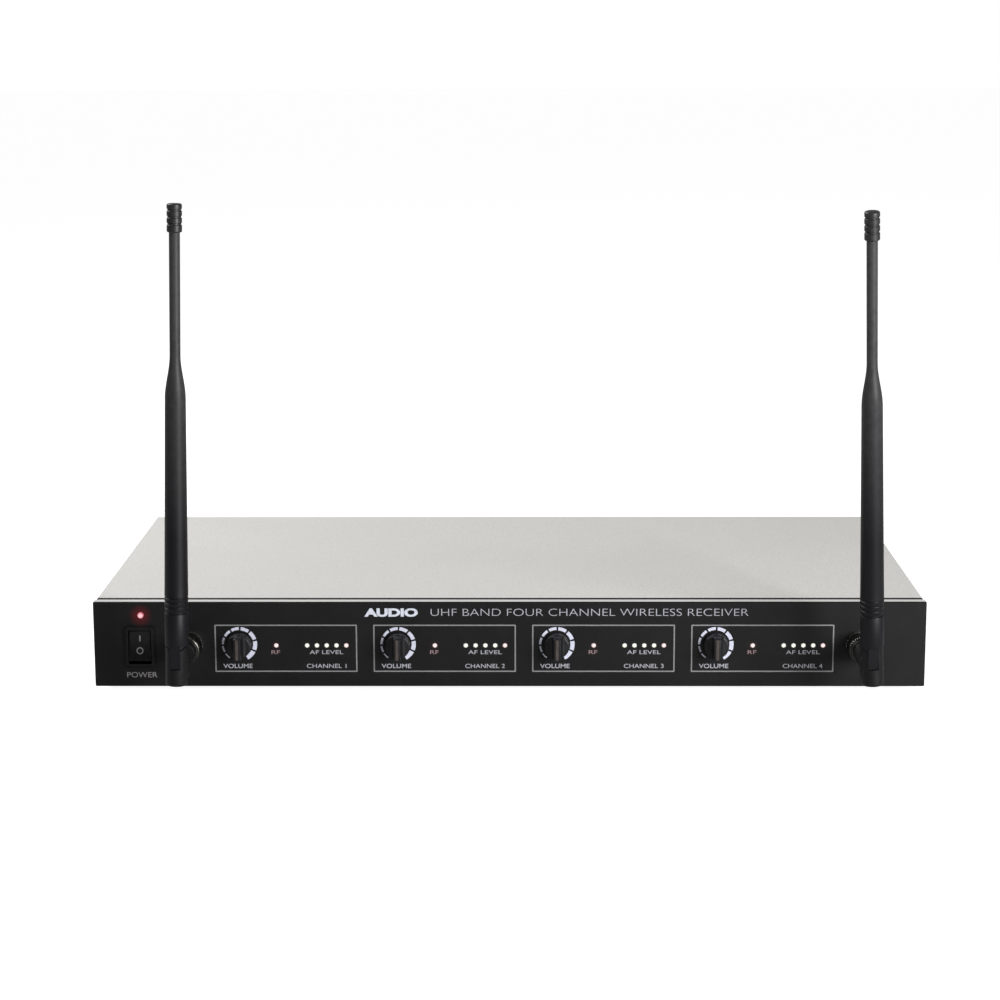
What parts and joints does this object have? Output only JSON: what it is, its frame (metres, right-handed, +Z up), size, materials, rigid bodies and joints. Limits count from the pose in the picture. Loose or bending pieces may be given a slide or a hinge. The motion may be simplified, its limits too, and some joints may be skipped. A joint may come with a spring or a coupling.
{
  "type": "wireless receiver unit",
  "caption": "Rack-height wireless microphone receiver: a flat metal case with volume knobs, signal lights, a power rocker and folding whip antennas on its front.",
  "frame": {"origin": "on the surface under the rubber feet, below the centre of the whole object's box", "axes": "+X to the right seen from the front, +Y to the back, +Z up"},
  "size_m": [0.42, 0.2964, 0.2512],
  "materials": {
    "panel_black": "satin black coating on aluminium, light edges",
    "sheet_steel": "plain zinc-plated sheet",
    "cover_grey": "fine-grained light warm grey",
    "rear_black": "fine black powder coat",
    "board_green": "solder mask",
    "screen_tin": "tin plate",
    "knob_black": "moulded, satin",
    "pot_body": "moulded",
    "steel": "turned",
    "clear_guide": "clear, polished",
    "connector_nickel": "nickel plate",
    "lamp_red": "tinted clear lens",
    "switch_black": "moulded",
    "rocker_black": "moulded",
    "coupling_metal": "darkened nickel plate",
    "fork_black": "moulded",
    "whip_rubber": "moulded, satin",
    "cap_black": "moulded",
    "lead_black": "extruded",
    "foot_rubber": "moulded",
    "jack_black": "moulded",
    "ribbon_grey": "extruded ribbon"
  },
  "bodies": {
    "receiver": {"front_panel": "panel_black", "chassis_tray": "sheet_steel", "top_cover": "cover_grey", "rear_panel": "rear_black", "main_board": "board_green", "front_board": "board_green", "tuner_can_1": "screen_tin", "volume_pot_1": "pot_body", "light_guide_1": "clear_guide", "xlr_output_1": "connector_nickel", "tuner_can_2": "screen_tin", "volume_pot_2": "pot_body", "light_guide_2": "clear_guide", "xlr_output_2": "connector_nickel", "tuner_can_3": "screen_tin", "volume_pot_3": "pot_body", "light_guide_3": "clear_guide", "xlr_output_3": "connector_nickel", "tuner_can_4": "screen_tin", "volume_pot_4": "pot_body", "light_guide_4": "clear_guide", "xlr_output_4": "connector_nickel", "power_led": "lamp_red", "switch_housing": "switch_black", "bnc_socket_left": "connector_nickel", "socket_nut_left": "connector_nickel", "antenna_coax_left": "lead_black", "foot_front_left": "foot_rubber", "foot_rear_left": "foot_rubber", "bnc_socket_right": "connector_nickel", "socket_nut_right": "connector_nickel", "antenna_coax_right": "lead_black", "foot_front_right": "foot_rubber", "foot_rear_right": "foot_rubber", "mix_plate": "rear_black", "mix_output_jack": "jack_black", "dc_inlet": "jack_black", "ribbon_cable": "ribbon_grey"},
    "volume_1": {"volume_knob_1": "knob_black", "pot_shaft_1": "steel"},
    "volume_2": {"volume_knob_2": "knob_black", "pot_shaft_2": "steel"},
    "volume_3": {"volume_knob_3": "knob_black", "pot_shaft_3": "steel"},
    "volume_4": {"volume_knob_4": "knob_black", "pot_shaft_4": "steel"},
    "power_rocker": {"power_rocker": "rocker_black"},
    "antenna_nut_left": {"antenna_nut_left": "coupling_metal"},
    "antenna_base_left": {"antenna_plug_left": "connector_nickel", "antenna_elbow_left": "fork_black", "hinge_pin_left": "steel"},
    "antenna_whip_left": {"antenna_whip_left": "whip_rubber", "whip_cap_left": "cap_black"},
    "antenna_nut_right": {"antenna_nut_right": "coupling_metal"},
    "antenna_base_right": {"antenna_plug_right": "connector_nickel", "antenna_elbow_right": "fork_black", "hinge_pin_right": "steel"},
    "antenna_whip_right": {"antenna_whip_right": "whip_rubber", "whip_cap_right": "cap_black"}
  },
  "joints": [
    {"name": "volume_1_turn", "type": "hinge", "parent": "receiver", "child": "volume_1", "pos_m": [-0.1363, -0.07, 0.026], "axis": [0, 1, 0], "range_deg": [-150, 150]},
    {"name": "volume_2_turn", "type": "hinge", "parent": "receiver", "child": "volume_2", "pos_m": [-0.0561, -0.07, 0.026], "axis": [0, 1, 0], "range_deg": [-150, 150]},
    {"name": "volume_3_turn", "type": "hinge", "parent": "receiver", "child": "volume_3", "pos_m": [0.0241, -0.07, 0.026], "axis": [0, 1, 0], "range_deg": [-150, 150]},
    {"name": "volume_4_turn", "type": "hinge", "parent": "receiver", "child": "volume_4", "pos_m": [0.1043, -0.07, 0.026], "axis": [0, 1, 0], "range_deg": [-150, 150]},
    {"name": "power_switch_rock", "type": "hinge", "parent": "receiver", "child": "power_rocker", "pos_m": [-0.1865, -0.066, 0.0249], "axis": [1, 0, 0], "range_deg": [0, 16]},
    {"name": "antenna_left_lock", "type": "hinge", "parent": "receiver", "child": "antenna_nut_left", "pos_m": [-0.1616, -0.07, 0.026], "axis": [0, 1, 0], "range_deg": [-90, 0]},
    {"name": "antenna_left_swivel", "type": "hinge", "parent": "receiver", "child": "antenna_base_left", "pos_m": [-0.1616, -0.116, 0.026], "axis": [0, 1, 0], "range_deg": [-91.3, 88.7]},
    {"name": "antenna_left_fold", "type": "hinge", "parent": "antenna_base_left", "child": "antenna_whip_left", "pos_m": [-0.16148, -0.116, 0.0312], "axis": [0.9997, 0, -0.0227], "range_deg": [0, 90]},
    {"name": "antenna_right_lock", "type": "hinge", "parent": "receiver", "child": "antenna_nut_right", "pos_m": [0.1766, -0.07, 0.026], "axis": [0, 1, 0], "range_deg": [-90, 0]},
    {"name": "antenna_right_swivel", "type": "hinge", "parent": "receiver", "child": "antenna_base_right", "pos_m": [0.1766, -0.116, 0.026], "axis": [0, 1, 0], "range_deg": [-87.4, 92.6]},
    {"name": "antenna_right_fold", "type": "hinge", "parent": "antenna_base_right", "child": "antenna_whip_right", "pos_m": [0.17636, -0.116, 0.03119], "axis": [0.999, 0, 0.0454], "range_deg": [-7.5, 82.5]}
  ]
}
